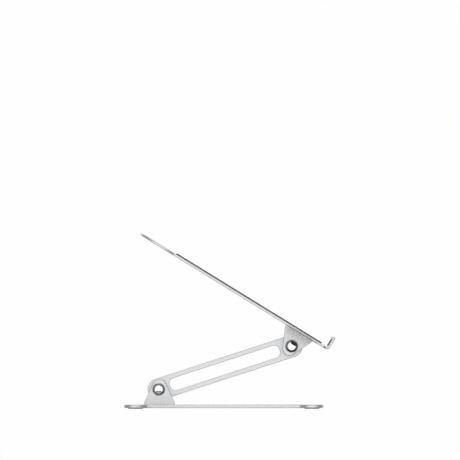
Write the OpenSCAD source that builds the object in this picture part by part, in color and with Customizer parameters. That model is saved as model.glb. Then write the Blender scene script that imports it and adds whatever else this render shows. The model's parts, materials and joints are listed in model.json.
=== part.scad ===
// Folding laptop stand in sheet and plate aluminium.
// A base plate on four feet and a tray plate with two hooks are joined by a pair of slotted arms.
// Each arm turns on a friction pivot at both ends, in a bracket on the base and its twin under the tray.
// Millimetres. X points to the front, where the hooks are, Y to the left and Z up. The stand rests on Z = 0.

/* [Pose] */
// Slope of the arms above level
arm_angle = 18; // [0:1:45]
// Slope of the tray, falling to the front
tray_angle = 31.6; // [0:0.1:45]

/* [Overall] */
// Width of the stand, which is the tray's across its ears
stand_w = 256; // [210:1:310]

/* [Base plate] */
// Length of the base plate, front to rear
base_l = 236; // [190:1:290]
// How much narrower than the tray the base plate is on either side
base_inset = 6; // [0:1:15]
// Thickness of the base plate
base_t = 4; // [3:0.5:6]
// Radius of the ears at the four corners
base_ear_r = 14; // [11:0.5:20]
// How far each side edge steps in between the ears
base_step = 8; // [4:0.5:11]
// Radius of the hollow between an ear and the side edge
base_hollow_r = 8; // [4:0.5:20]
// Width of the rail between the base plate's window and its side edge
base_rail = 34; // [31:1:60]
// Distance from the window to the base plate's front edge
base_front_bar = 42.7; // [20:0.1:60]
// Distance from the lower pivot to the window
base_window_from_pivot = 34; // [28:1:50]

/* [Feet] */
// Diameter of a foot
foot_d = 17.5; // [12:0.5:20]
// Height of a foot below the base plate
foot_h = 1; // [0.5:0.1:3]
// Depth of the pocket that a foot is glued in
foot_sink = 0.8; // [0.4:0.1:1.5]

/* [Brackets] */
// Distance from the base plate's side edge in to a bracket's outer face
bracket_inset = 6; // [0:0.5:10]
// Thickness of a bracket
bracket_t = 6; // [5:0.5:8]
// Length of a bracket where it meets its plate
bracket_l = 37; // [34:0.5:48]
// Height of the pivot above the face that the bracket stands on
pivot_rise = 18; // [15:0.5:26]
// Distance from the base plate's rear edge to the lower pivot
pivot_from_rear = 41.3; // [35:0.1:50]
// Radius of the bracket's nose
nose_r = 7.8; // [7:0.1:9]
// How far the nose's centre lies beyond the pivot
nose_beyond = 4.4; // [3:0.1:6]
// Radius between a flank of the bracket and its foot
flank_r = 7; // [3:0.5:9]
// How far the bracket's middle lies from the pivot, towards the arm
bracket_shift = 0.8; // [0:0.1:1.5]

/* [Arms] */
// Distance between the lower and the upper pivot
arm_l = 165; // [135:1:200]
// Width of an arm
arm_w = 26; // [21:0.1:32]
// Thickness of an arm
arm_t = 5; // [4:0.5:7]
// Width of the slot in an arm
slot_w = 14.7; // [8:0.1:18]
// Radius of the slot's corners
slot_r = 6.4; // [3:0.1:7]
// Distance from the lower pivot to the slot
slot_after_lower = 14; // [11:0.5:30]
// Distance from the slot to the upper pivot
slot_before_upper = 15; // [11:0.5:30]

/* [Tray] */
// Thickness of the tray's sheet
tray_t = 3; // [2:0.5:4]
// Distance along the tray from the upper pivot back to the tray's rear edge
tray_rear = 221.6; // [180:0.1:270]
// Distance along the tray from the upper pivot to the front face of the hooks
tray_front = 39.3; // [36:0.1:60]
// Radius of the rear ears
tray_ear_r = 27; // [15:0.5:35]
// Radius of the hollow after a rear ear
tray_hollow_r = 8; // [4:0.5:30]
// How far each side edge steps in between the ears
tray_step = 8; // [4:0.5:12]
// Radius of the front corners
tray_corner_r = 5; // [2:0.5:10]
// Length of the straight edge behind a front corner
tray_crest = 4; // [1:0.5:10]
// Radius of both halves of the long curve behind it
tray_swell_r = 32; // [20:1:60]
// Width of the rail between the tray's window and its side edge
tray_rail = 40; // [38:1:60]
// Distance from the window to the tray's rear edge
tray_rear_bar = 45.6; // [30:0.1:60]
// Distance from the upper pivot back to the window
tray_window_from_pivot = 36; // [28:1:50]

/* [Hooks] */
// Width of a hook
hook_w = 44; // [25:1:58]
// Distance from the tray's side in to a hook
hook_inset = 31; // [15:1:45]
// Height of a hook above the tray's upper face
hook_h = 14; // [10:0.5:25]
// Outer radius of the bend
bend_r = 4; // [3.5:0.5:6]
// How far the hook's tip leans in over the laptop's edge
tip_reach = 1.8; // [0.5:0.1:3]
// Thickness of the tip
tip_t = 2.7; // [1.5:0.1:4]

/* [Pads] */
// Thickness of the silicone strips on the tray
pad_t = 1.5; // [1:0.1:3]
// Width of a strip
pad_w = 16; // [10:1:20]
// Distance from the tray's rear edge to a strip
pad_from_rear = 48.6; // [30:0.1:80]
// Distance from the tray's front edge to a strip
pad_from_front = 7.3; // [5:0.1:15]
// Thickness of the pad inside a hook
hook_pad_t = 1.4; // [0.8:0.1:2.5]

/* [Pivots] */
// Diameter of a pivot bolt's shank
shank_d = 8; // [6:0.1:10]
// Diameter of the domed head
head_d = 15; // [13:0.5:16]
// Height of the head's straight rim
head_rim = 0.8; // [0.4:0.1:2]
// Height of the dome above the rim
head_dome = 3; // [1.5:0.1:5]
// Thickness of the friction washer between bracket and arm
friction_t = 1; // [0.5:0.1:2]
// Thickness of the plain washer inside the arm
plain_t = 1.2; // [0.8:0.1:2]
// Diameter of both washers
washer_d = 17; // [14:0.1:20.5]
// Diameter of the spring washer
spring_d = 15; // [12:0.5:18]
// Thickness of the spring washer's metal
spring_t = 0.9; // [0.5:0.1:1.5]
// Height of the spring washer's cone
spring_cone = 0.6; // [0.3:0.1:1]
// Width of a lock nut across its flats
nut_flats = 13; // [12:0.5:15]
// Height of a lock nut's hexagon
nut_h = 5; // [3:0.5:8]
// Height of the collar that holds the nut's locking ring
collar_h = 1.6; // [1:0.1:3]
// Length of bolt that stands out of the nut
bolt_tail = 1; // [0.2:0.1:3]

/* [Screws] */
// Diameter of a bracket screw
screw_d = 3; // [2.5:0.1:3.5]
// Diameter of its countersunk head
screw_head_d = 6; // [5:0.1:7]
// Length of a bracket screw, head included
screw_l = 13; // [10:0.5:16]
// Distance between the two screws of a bracket
screws_apart = 22; // [20:0.5:26]

/* [Hidden] */
$fn = 64;
// A shaft turns in its bore with this much room all round
running = 0.05;
// A screw, washer or nut goes over or into its mate with this much room all round
loose = 0.05;
// Room between an arm and the washers on either side of it
side_gap = 0.1;
// Room all round a foot in its pocket
pocket_gap = 0.15;
// Cuts run this much past the face that they open
past = 1;
// Two arcs that touch are made to cross by this much
seam = 0.01;
// Rounding of the hook's tip
tip_r = 1.2;
// Chamfer of the small turned parts
small_chamfer = 0.4;
// Corner radius of the two windows, as a share of their length
corner_share = 1 / 6;

silver = "#d6d7d9";
polished = "#eceded";
steel = "#a9abae";
grey_silicone = "#8d8e90";
dark_silicone = "#4c4d4f";
brass = "#b59a5b";

// Heights and distances across the stand
pivot_z = foot_h + base_t + pivot_rise;
base_w = stand_w - 2 * base_inset;
base_waist = base_w - 2 * base_step;
tray_waist = stand_w - 2 * tray_step;
bracket_out = base_waist / 2 - bracket_inset;
bracket_in = bracket_out - bracket_t;
arm_out = bracket_in - friction_t - side_gap;
arm_in = arm_out - arm_t;
plain_in = arm_in - side_gap - plain_t;
spring_in = plain_in - spring_t - spring_cone;
nut_in = spring_in - nut_h - collar_h;
screw_y = (bracket_out + bracket_in) / 2;
hook_y = stand_w / 2 - hook_inset - hook_w / 2;

// Along the stand, counted from the base plate's rear edge
upper_x = pivot_from_rear + arm_l * cos(arm_angle);
upper_z = pivot_z + arm_l * sin(arm_angle);
tray_top = pivot_rise + tray_t;
hook_top = tray_top + hook_h;
tray_edge = tray_front - bend_r;
base_window_l = base_l - pivot_from_rear - base_window_from_pivot - base_front_bar;
tray_window_l = tray_rear - tray_window_from_pivot - tray_rear_bar;
rearmost = min(0, upper_x - tray_rear * cos(tray_angle) + pivot_rise * sin(tray_angle));
hook_x = (tray_front - tip_r) * cos(tray_angle) + (hook_top - tip_r) * sin(tray_angle) + tip_r;
foremost = max(base_l, upper_x + hook_x);
// The origin lies under the middle of the stand's whole length
rear_x = -(rearmost + foremost) / 2;
lower_x = rear_x + pivot_from_rear;
foot_x = base_l / 2 - base_ear_r;
foot_y = base_w / 2 - base_ear_r;
head_ball_r = (pow(head_d / 2, 2) + pow(head_dome, 2)) / (2 * head_dome);

// ---- Places ----

// Everything is drawn on the left, and the right is its mirror image
module on_side(side) {
    if (side > 0) children();
    else mirror([0, 1, 0]) children();
}

// At the lower pivot
module at_lower() {
    translate([lower_x, 0, pivot_z]) children();
}

// Along the arms, from the lower pivot
module along_arm() {
    at_lower() rotate([0, -arm_angle, 0]) children();
}

// Along the tray, from the upper pivot
module along_tray() {
    translate([rear_x + upper_x, 0, upper_z]) rotate([0, tray_angle, 0]) children();
}

// Stands an outline drawn in X and Z upright, between two distances across the stand
module upright(y_in, y_out) {
    translate([0, y_out, 0]) rotate([90, 0, 0]) linear_extrude(y_out - y_in) children();
}

// Turns a profile about the pivot's axis; its height runs outwards from the distance y
module turned(y) {
    translate([0, y, 0]) rotate([-90, 0, 0]) rotate_extrude() children();
}

// A round rod along the pivot's axis, to stand or to cut with
module rod(r, y_in, y_out) {
    translate([0, y_in, 0]) rotate([-90, 0, 0]) cylinder(r = r, h = y_out - y_in);
}

// ---- Outlines ----

module rounded_rect(l, w, r) {
    square([l - 2 * r, w], center = true);
    square([l, w - 2 * r], center = true);
    for (x = [-1, 1], y = [-1, 1])
        translate([x * (l / 2 - r), y * (w / 2 - r)]) circle(r);
}

// One of the curves that take a side edge from an ear in to the waist: it starts on the ear's edge at X = 0,
// runs in the direction of +X, and is first round outwards and then round inwards
module shoulder(half_w, step, swell, hollow) {
    far_x = sqrt(pow(swell + hollow, 2) - pow(swell + hollow - step, 2));
    swell_y = half_w - swell;
    hollow_y = half_w - step + hollow;
    intersection() {
        translate([0, swell_y]) circle(swell);
        translate([0, half_w - 2 * step]) square([far_x, 2 * step]);
    }
    difference() {
        polygon([[0, swell_y], [far_x, swell_y], [far_x, hollow_y]]);
        translate([far_x, hollow_y]) circle(hollow + seam);
    }
}

// One end of an eared plate. The end's edge is at X = 0 and the plate lies in the direction of +X
module eared_end(half_w, step, corner, crest, swell, hollow) {
    translate([0, -(half_w - corner)]) square([corner, 2 * (half_w - corner)]);
    if (crest > 0) translate([corner, -half_w]) square([crest, 2 * half_w]);
    for (side = [0, 1]) mirror([0, side]) {
        translate([corner, half_w - corner]) circle(corner);
        translate([corner + crest, 0]) shoulder(half_w, step, swell, hollow);
    }
}

// What rounding takes off an outer corner that points to -X and -Y and lies at the origin
module corner_waste(r) {
    difference() {
        translate([-past, -past]) square(r + past);
        translate([r, r]) circle(r);
    }
}

// A hook, cut across: the bend, the upright and the tip that leans in
module hook_outline() {
    inner = tray_front - tray_t;
    tip_x = inner - tip_reach;
    difference() {
        translate([tray_edge - past, pivot_rise])
            square([tray_front - tray_edge + past, hook_top - pivot_rise]);
        // The room for the laptop's edge
        difference() {
            translate([tray_edge - 2 * past, tray_top])
                square([inner - tray_edge + 2 * past, hook_top - tip_t - tray_top]);
            translate([inner, tray_top]) rotate(90) corner_waste(bend_r - tray_t);
        }
        // The space behind the tip
        translate([tray_edge - 2 * past, tray_top]) square([tip_x - tray_edge + 2 * past, hook_h + past]);
        translate([tray_front, pivot_rise]) rotate(90) corner_waste(bend_r);
        translate([tray_front, hook_top]) rotate(180) corner_waste(tip_r);
        translate([tip_x, hook_top]) rotate(270) corner_waste(tip_r);
        translate([tip_x, hook_top - tip_t]) corner_waste(tip_r);
    }
}

// ---- Small parts ----

// A washer between two distances across the stand
module washer(r, y_in, y_out) {
    turned(y_in) translate([shank_d / 2 + loose, 0]) square([r - shank_d / 2 - loose, y_out - y_in]);
}

// Domed bolt of a pivot
module pivot_bolt() {
    tail_y = nut_in - bolt_tail;
    color(polished) {
        turned(tail_y) polygon([
            [0, 0], [shank_d / 2 - small_chamfer, 0], [shank_d / 2, small_chamfer],
            [shank_d / 2, bracket_out - tail_y], [0, bracket_out - tail_y],
        ]);
        turned(bracket_out) square([head_d / 2, head_rim]);
        turned(bracket_out) intersection() {
            translate([0, head_rim + head_dome - head_ball_r]) circle(head_ball_r);
            translate([0, head_rim]) square([head_d / 2, head_dome]);
        }
    }
}

module friction_washer() {
    color(brass) washer(washer_d / 2, bracket_in - friction_t, bracket_in);
}

module plain_washer() {
    color(steel) washer(washer_d / 2, plain_in, plain_in + plain_t);
}

// Conical washer that keeps the pivot's parts pressed together
module spring_washer() {
    bore_r = shank_d / 2 + loose;
    color(steel) turned(spring_in) polygon([
        [bore_r, 0], [spring_d / 2, spring_cone],
        [spring_d / 2, spring_cone + spring_t], [bore_r, spring_t],
    ]);
}

module lock_nut() {
    collar_r = nut_flats / 2 - small_chamfer;
    color(steel) difference() {
        union() {
            translate([0, nut_in + collar_h, 0]) rotate([-90, 0, 0])
                cylinder(d = nut_flats / cos(30), h = nut_h, $fn = 6);
            rod(collar_r, nut_in, nut_in + collar_h + past);
        }
        rod(shank_d / 2 + loose, nut_in - past, spring_in + past);
    }
}

// Countersunk screw that points up, with its head's face at Z = 0
module countersunk_screw() {
    head_h = (screw_head_d - screw_d) / 2;
    color(steel) difference() {
        rotate_extrude() polygon([
            [0, 0], [screw_head_d / 2, 0], [screw_d / 2, head_h],
            [screw_d / 2, screw_l - small_chamfer], [screw_d / 2 - small_chamfer, screw_l], [0, screw_l],
        ]);
        translate([0, 0, -past]) cylinder(d = screw_d / 2 + past / 2, h = past + head_h * 0.7, $fn = 6);
    }
}

// The hole that such a screw needs, through a plate that lies above Z = 0
module screw_hole(plate_t) {
    head_h = (screw_head_d - screw_d) / 2;
    wide = screw_head_d / 2 + loose;
    rotate_extrude() polygon([
        [0, -past], [wide, -past], [wide, 0], [screw_d / 2 + loose, head_h],
        [screw_d / 2 + loose, plate_t + past], [0, plate_t + past],
    ]);
}

// The two places of a bracket's screws, about the pivot
module at_screws() {
    for (end = [-1, 1]) translate([bracket_shift + end * screws_apart / 2, screw_y, 0]) children();
}

// A bracket's bell shape: straight flanks between a round nose and a round heel at either end of its foot
module bracket_blank() {
    heel = [bracket_l / 2 - flank_r, -pivot_rise];
    nose = [0, nose_beyond];
    run = heel - nose;
    lean = atan2(run.y, run.x) + acos((nose_r - flank_r) / norm(run));
    out = [cos(lean), sin(lean)];
    high = nose + nose_r * out;
    low = heel + flank_r * out;
    difference() {
        union() {
            upright(bracket_in, bracket_out)
                polygon([high, low, heel, [-heel.x, heel.y], [-low.x, low.y], [-high.x, high.y]]);
            translate([nose.x, 0, nose.y]) rod(nose_r, bracket_in, bracket_out);
            for (end = [-1, 1]) translate([end * heel.x, 0, heel.y]) rod(flank_r, bracket_in, bracket_out);
        }
        translate([-bracket_l, bracket_in - past, -pivot_rise - 2 * flank_r])
            cube([2 * bracket_l, bracket_t + 2 * past, 2 * flank_r]);
    }
}

// A bracket that stands on its foot, with the pivot at the origin
module bracket() {
    color(silver) difference() {
        translate([bracket_shift, 0, 0]) bracket_blank();
        rod(shank_d / 2 + loose, bracket_in - past, bracket_out + past);
        at_screws() translate([0, 0, -pivot_rise - past])
            cylinder(r = screw_d / 2 + loose, h = screw_l - min(base_t, tray_t) + 2 * past);
    }
}

// ---- Base ----

module base_plate() {
    color(silver) translate([rear_x, 0, foot_h]) difference() {
        linear_extrude(base_t) difference() {
            union() {
                eared_end(base_w / 2, base_step, base_ear_r, 0, base_ear_r, base_hollow_r);
                translate([base_l, 0]) mirror([1, 0])
                    eared_end(base_w / 2, base_step, base_ear_r, 0, base_ear_r, base_hollow_r);
                translate([base_ear_r, -base_waist / 2]) square([base_l - 2 * base_ear_r, base_waist]);
            }
            translate([base_l - base_front_bar - base_window_l / 2, 0])
                rounded_rect(base_window_l, base_waist - 2 * base_rail, base_window_l * corner_share);
        }
        for (x = [-1, 1], y = [-1, 1])
            translate([base_l / 2 + x * foot_x, y * foot_y, -past])
                cylinder(r = foot_d / 2 + pocket_gap, h = foot_sink + past);
        for (side = [-1, 1]) on_side(side)
            translate([pivot_from_rear, 0, 0]) at_screws() screw_hole(base_t);
    }
}

module foot(end, side) {
    color(grey_silicone) translate([rear_x + base_l / 2 + end * foot_x, side * foot_y, 0])
        rotate_extrude() polygon([
            [0, 0], [foot_d / 2 - small_chamfer, 0], [foot_d / 2, small_chamfer],
            [foot_d / 2, foot_h + foot_sink], [0, foot_h + foot_sink],
        ]);
}

module base_bracket(side) {
    at_lower() on_side(side) bracket();
}

module base_bracket_screws(side) {
    translate([lower_x, 0, foot_h]) on_side(side) at_screws() countersunk_screw();
}

// ---- Arms ----

module arm(side) {
    slot_l = arm_l - slot_after_lower - slot_before_upper;
    along_arm() on_side(side) color(silver) difference() {
        upright(arm_in, arm_out) difference() {
            union() {
                circle(d = arm_w);
                translate([arm_l, 0]) circle(d = arm_w);
                translate([0, -arm_w / 2]) square([arm_l, arm_w]);
            }
            translate([slot_after_lower + slot_l / 2, 0]) rounded_rect(slot_l, slot_w, slot_r);
        }
        for (x = [0, arm_l]) translate([x, 0, 0])
            rod(shank_d / 2 + running, arm_in - past, arm_out + past);
    }
}

// ---- Tray ----

// The flat sheet, seen from above, with the upper pivot at X = 0
module tray_sheet() {
    half_w = stand_w / 2;
    body_l = tray_rear + tray_edge - tray_ear_r - tray_corner_r;
    difference() {
        union() {
            translate([-tray_rear, 0])
                eared_end(half_w, tray_step, tray_ear_r, 0, tray_ear_r, tray_hollow_r);
            translate([tray_edge, 0]) mirror([1, 0])
                eared_end(half_w, tray_step, tray_corner_r, tray_crest, tray_swell_r, tray_swell_r);
            translate([-tray_rear + tray_ear_r, -tray_waist / 2]) square([body_l, tray_waist]);
        }
        translate([-tray_window_from_pivot - tray_window_l / 2, 0])
            rounded_rect(tray_window_l, tray_waist - 2 * tray_rail, tray_window_l * corner_share);
    }
}

module tray_plate() {
    along_tray() color(silver) difference() {
        union() {
            translate([0, 0, pivot_rise]) linear_extrude(tray_t) tray_sheet();
            for (side = [-1, 1])
                upright(side * hook_y - hook_w / 2, side * hook_y + hook_w / 2) hook_outline();
        }
        for (side = [-1, 1]) on_side(side)
            translate([0, 0, tray_top]) rotate([0, 180, 0]) at_screws() screw_hole(tray_t);
    }
}

module tray_bracket(side) {
    along_tray() on_side(side) rotate([0, 180, 0]) bracket();
}

module tray_bracket_screws(side) {
    along_tray() on_side(side)
        translate([0, 0, tray_top]) rotate([0, 180, 0]) at_screws() countersunk_screw();
}

module tray_pad(side) {
    pad_l = tray_rear + tray_edge - pad_from_rear - pad_from_front;
    along_tray() on_side(side) color(dark_silicone)
        translate([tray_edge - pad_from_front - pad_l / 2, screw_y, tray_top])
            linear_extrude(pad_t) rounded_rect(pad_l, pad_w, pad_w / 2 - small_chamfer);
}

module hook_pad(side) {
    pad_z = pivot_rise + bend_r + small_chamfer;
    pad_top = hook_top - tip_t - small_chamfer;
    along_tray() on_side(side) color(dark_silicone)
        translate([tray_front - tray_t, hook_y, (pad_z + pad_top) / 2]) rotate([0, -90, 0])
            linear_extrude(hook_pad_t) rounded_rect(pad_top - pad_z, hook_w - 2 * bend_r, tip_r);
}

// ---- The stand ----

base_plate();
foot(1, 1);  // foot_front_left
foot(1, -1);  // foot_front_right
foot(-1, 1);  // foot_rear_left
foot(-1, -1);  // foot_rear_right
base_bracket(1);  // base_bracket_left
base_bracket(-1);  // base_bracket_right
base_bracket_screws(1);  // base_bracket_screws_left
base_bracket_screws(-1);  // base_bracket_screws_right
at_lower() on_side(1) pivot_bolt();  // lower_bolt_left
at_lower() on_side(-1) pivot_bolt();  // lower_bolt_right
at_lower() on_side(1) friction_washer();  // lower_friction_washer_left
at_lower() on_side(-1) friction_washer();  // lower_friction_washer_right
at_lower() on_side(1) plain_washer();  // lower_plain_washer_left
at_lower() on_side(-1) plain_washer();  // lower_plain_washer_right
at_lower() on_side(1) spring_washer();  // lower_spring_washer_left
at_lower() on_side(-1) spring_washer();  // lower_spring_washer_right
at_lower() on_side(1) lock_nut();  // lower_lock_nut_left
at_lower() on_side(-1) lock_nut();  // lower_lock_nut_right
arm(1);  // arm_left
arm(-1);  // arm_right
tray_plate();
tray_bracket(1);  // tray_bracket_left
tray_bracket(-1);  // tray_bracket_right
tray_bracket_screws(1);  // tray_bracket_screws_left
tray_bracket_screws(-1);  // tray_bracket_screws_right
along_tray() on_side(1) pivot_bolt();  // upper_bolt_left
along_tray() on_side(-1) pivot_bolt();  // upper_bolt_right
along_tray() on_side(1) friction_washer();  // upper_friction_washer_left
along_tray() on_side(-1) friction_washer();  // upper_friction_washer_right
along_tray() on_side(1) plain_washer();  // upper_plain_washer_left
along_tray() on_side(-1) plain_washer();  // upper_plain_washer_right
along_tray() on_side(1) spring_washer();  // upper_spring_washer_left
along_tray() on_side(-1) spring_washer();  // upper_spring_washer_right
along_tray() on_side(1) lock_nut();  // upper_lock_nut_left
along_tray() on_side(-1) lock_nut();  // upper_lock_nut_right
tray_pad(1);  // tray_pad_left
tray_pad(-1);  // tray_pad_right
hook_pad(1);  // hook_pad_left
hook_pad(-1);  // hook_pad_right
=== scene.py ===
"""Finished look of a folding aluminium laptop stand.

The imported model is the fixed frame. Every piece is modelled at the size and place that the frame gives, in
metres, with X to the front, where the hooks are, Y to the left and Z up. Pieces are drawn on the left and
mirrored to the right.
"""

import json
import math

import bmesh
import bpy
from bpy.props import FloatProperty, FloatVectorProperty, PointerProperty
from mathutils import Matrix, Vector


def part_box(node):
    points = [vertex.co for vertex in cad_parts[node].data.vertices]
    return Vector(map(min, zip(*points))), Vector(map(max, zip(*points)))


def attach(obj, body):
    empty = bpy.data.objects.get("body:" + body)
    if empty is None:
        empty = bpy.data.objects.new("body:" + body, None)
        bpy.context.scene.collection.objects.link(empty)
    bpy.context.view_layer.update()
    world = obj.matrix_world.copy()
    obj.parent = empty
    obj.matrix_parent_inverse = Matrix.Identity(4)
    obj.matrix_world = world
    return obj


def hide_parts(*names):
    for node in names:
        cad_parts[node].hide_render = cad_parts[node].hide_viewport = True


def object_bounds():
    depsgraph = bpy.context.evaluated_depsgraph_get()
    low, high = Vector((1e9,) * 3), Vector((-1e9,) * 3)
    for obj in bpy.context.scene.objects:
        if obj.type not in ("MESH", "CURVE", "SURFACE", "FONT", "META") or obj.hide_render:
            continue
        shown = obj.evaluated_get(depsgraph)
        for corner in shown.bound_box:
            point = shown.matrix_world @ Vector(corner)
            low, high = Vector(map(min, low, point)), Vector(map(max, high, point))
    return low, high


bl_info = {
    "name": "Laptop Stand",
    "version": (1, 0, 0),
    "blender": (4, 5, 0),
    "location": "View3D > Sidebar > Laptop Stand",
    "description": "Builds a folding laptop stand in anodised aluminium around its packed frame",
    "category": "Object",
}

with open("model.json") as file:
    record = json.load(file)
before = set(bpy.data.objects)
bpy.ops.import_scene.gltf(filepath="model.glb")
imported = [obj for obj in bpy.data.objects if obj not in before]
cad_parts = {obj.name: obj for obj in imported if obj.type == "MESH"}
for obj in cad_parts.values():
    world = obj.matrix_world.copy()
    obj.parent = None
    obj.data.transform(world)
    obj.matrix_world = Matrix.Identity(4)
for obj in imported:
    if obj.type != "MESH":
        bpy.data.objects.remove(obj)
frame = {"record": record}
CAD_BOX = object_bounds()

MM = 0.001
JOINTS = {joint["name"]: joint for joint in frame["record"]["behaviour"]["joints"]}
MOUNTS = {mount["name"]: mount for mount in frame["record"]["mounts"]}
LOWER_PIVOT = Vector(JOINTS["arm_lift"]["pos_m"])
UPPER_PIVOT = Vector(JOINTS["tray_tilt"]["pos_m"])
ARM = UPPER_PIVOT - LOWER_PIVOT
ARM_SLOPE = math.atan2(ARM.z, ARM.x)
TRAY_NORMAL = Vector(MOUNTS["tray_pad_left_rest"]["axis"])
TRAY_SLOPE = math.atan2(TRAY_NORMAL.x, TRAY_NORMAL.z)
# Height of a pivot over the face that its bracket stands on
PIVOT_RISE = LOWER_PIVOT.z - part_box("base_plate")[1].z
# Distance of the brackets' outer faces from the middle of the stand
OUTER_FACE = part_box("base_bracket_left")[1].y

# The frames that the pieces are drawn in: at the lower pivot, along the arm and along the tray
AT_LOWER = Matrix.Translation(LOWER_PIVOT)
ALONG_ARM = AT_LOWER @ Matrix.Rotation(-ARM_SLOPE, 4, "Y")
ALONG_TRAY = Matrix.Translation(UPPER_PIVOT) @ Matrix.Rotation(TRAY_SLOPE, 4, "Y")
TURNED_OVER = Matrix.Rotation(math.pi, 4, "Y")
# Stands up what was drawn flat: its Y becomes Z, and its Z points to the right
STAND_UP = Matrix.Rotation(math.pi / 2, 4, "X")
SIDES = {"left": Matrix.Identity(4), "right": Matrix.Diagonal((1, -1, 1, 1))}

# Degrees that one facet turns through, in the corners of a flat outline and in the edges of a turned part
CORNER_STEP = 6.0
EDGE_STEP = 15.0
# Facets round a turned part, and round a small one
ROUND_STEPS = 96
SMALL_STEPS = 48
# A plate's window is as long as this many radii of its corners
WINDOW_RADII = 6
# Room between a bracket screw and its hole
SCREW_PLAY = 0.05 * MM
# Two points nearer than this are one
SAME_POINT = 1e-6
# Edges that turn more than this are rims
RIM_ANGLE = math.radians(35)


def length(name, description, millimetres):
    """A size that a user may change."""
    return FloatProperty(
        name=name, description=description, default=millimetres * MM, unit="LENGTH", precision=4
    )


def share(name, description, value):
    """A setting from 0 to 1."""
    return FloatProperty(
        name=name, description=description, default=value, min=0, max=1, subtype="FACTOR"
    )


def brightness(name, description, value):
    """The brightness of a part of the studio, where 1 shows as white."""
    return FloatProperty(name=name, description=description, default=value, min=0)


def colour(name, description, hex_value):
    """A colour, given as sRGB hex."""
    return FloatVectorProperty(
        name=name,
        description=description,
        default=linear(hex_value)[:3],
        min=0,
        max=1,
        size=3,
        subtype="COLOR",
    )


def linear(hex_value):
    """Turns sRGB hex to linear RGBA."""
    parts = [int(hex_value[i : i + 2], 16) / 255 for i in (1, 3, 5)]
    return (*[c / 12.92 if c <= 0.04045 else ((c + 0.055) / 1.055) ** 2.4 for c in parts], 1.0)


class StandSizes(bpy.types.PropertyGroup):
    """Sizes of the details that the frame's boxes don't give."""

    rim: length("Rim", "Width of the broken edge of the plates", 0.9)
    base_ear: length("Base ear", "Radius of the base plate's ears", 14)
    base_hollow: length("Base hollow", "Radius of the hollow behind an ear of the base plate", 8)
    base_rail: length("Base rail", "Width of the base plate between its window and its side edge", 34)
    base_front_bar: length("Base front bar", "Distance from the base plate's window to its front edge", 42.7)
    base_rear_bar: length("Base rear bar", "Distance from the base plate's window to its rear edge", 75.3)
    step: length("Step", "How far the side edges step in between the ears", 8)
    nose: length("Bracket nose", "Radius of a bracket's nose", 7.8)
    nose_beyond: length("Nose beyond pivot", "How far the nose's centre lies beyond the pivot", 4.4)
    flank: length("Bracket heel", "Radius between a bracket's flank and its foot", 7)
    slot_width: length("Slot width", "Width of the slot in an arm", 14.7)
    slot_corner: length("Slot corner", "Radius of the slot's corners", 6.4)
    slot_after_lower: length("Slot start", "Distance from the lower pivot to the slot", 14)
    slot_before_upper: length("Slot end", "Distance from the slot to the upper pivot", 15)
    bore: length("Bore", "Radius of the bores for the pivot bolts", 4.05)
    tray_thickness: length("Tray thickness", "Thickness of the tray's sheet", 3)
    tray_rear: length("Tray rear", "Distance from the upper pivot back to the tray's rear edge", 221.6)
    tray_front: length("Tray front", "Distance from the upper pivot to the front face of the hooks", 39.3)
    tray_ear: length("Tray ear", "Radius of the tray's rear ears", 27)
    tray_hollow: length("Tray hollow", "Radius of the hollow after a rear ear", 8)
    tray_corner: length("Tray front corner", "Radius of the tray's front corners", 5)
    tray_crest: length("Tray crest", "Straight edge behind a front corner", 4)
    tray_swell: length("Tray swell", "Radius of the long curve behind the front corners", 32)
    tray_rail: length("Tray rail", "Width of the tray between its window and its side edge", 40)
    tray_rear_bar: length("Tray rear bar", "Distance from the tray's window to its rear edge", 45.6)
    tray_bar: length("Tray front bar", "Distance from the upper pivot back to the tray's window", 36)
    hook_width: length("Hook width", "Width of a hook", 44)
    hook_height: length("Hook height", "Height of a hook above the tray", 14)
    bend: length("Bend", "Outer radius of the bend into the hook", 4)
    tip_reach: length("Tip reach", "How far the hook's tip leans in", 1.8)
    tip: length("Tip", "Thickness of the hook's tip", 2.7)
    hook_corner: length("Hook corner", "Radius of the hook's upper corners", 1.8)
    hook_crest: length("Hook crest", "Radius between a hook's front face and its top", 1.2)
    pad_edge: length("Pad edge", "Rounding of the pads' upper edges", 0.4)
    screw_reach: length("Screw reach", "Distance of a bracket screw from the middle of its bracket", 11)
    head_rim: length("Cap rim", "Height of the straight rim of a pivot's cap", 0.8)
    shank: length("Shank", "Radius of a pivot bolt's shank", 4)
    spring_metal: length("Spring washer", "Thickness of the spring washer's metal", 0.9)
    nut_flats: length("Nut", "Width of a lock nut across its flats", 13)
    collar: length("Nut collar", "Height of the collar that holds the nut's locking ring", 1.6)
    screw: length("Screw", "Diameter of a bracket screw", 3)
    screw_head: length("Screw head", "Diameter of a bracket screw's head", 6)


class StandFinishes(bpy.types.PropertyGroup):
    """Colours and gloss of the stand."""

    aluminium: colour("Aluminium", "Colour of the anodised aluminium", "#dcdddf")
    aluminium_roughness: share("Aluminium roughness", "Roughness of the blasted and anodised surface", 0.4)
    aluminium_metal: share(
        "Aluminium metal", "Share of the light that the metal under the oxide sends back", 0.75
    )
    bolt: colour("Pivot caps", "Colour of the polished steel", "#f0f0f1")
    fasteners: colour("Fasteners", "Colour of the plated nuts, washers and screws", "#b4b6ba")
    bronze: colour("Friction washers", "Colour of the sintered bronze", "#b08d57")
    nylon: colour("Locking ring", "Colour of the nut's nylon ring", "#e4e6e2")
    feet: colour("Feet", "Colour of the silicone feet", "#e4e5e6")
    pads: colour("Pads", "Colour of the silicone strips and hook pads", "#4a4b4d")


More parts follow.
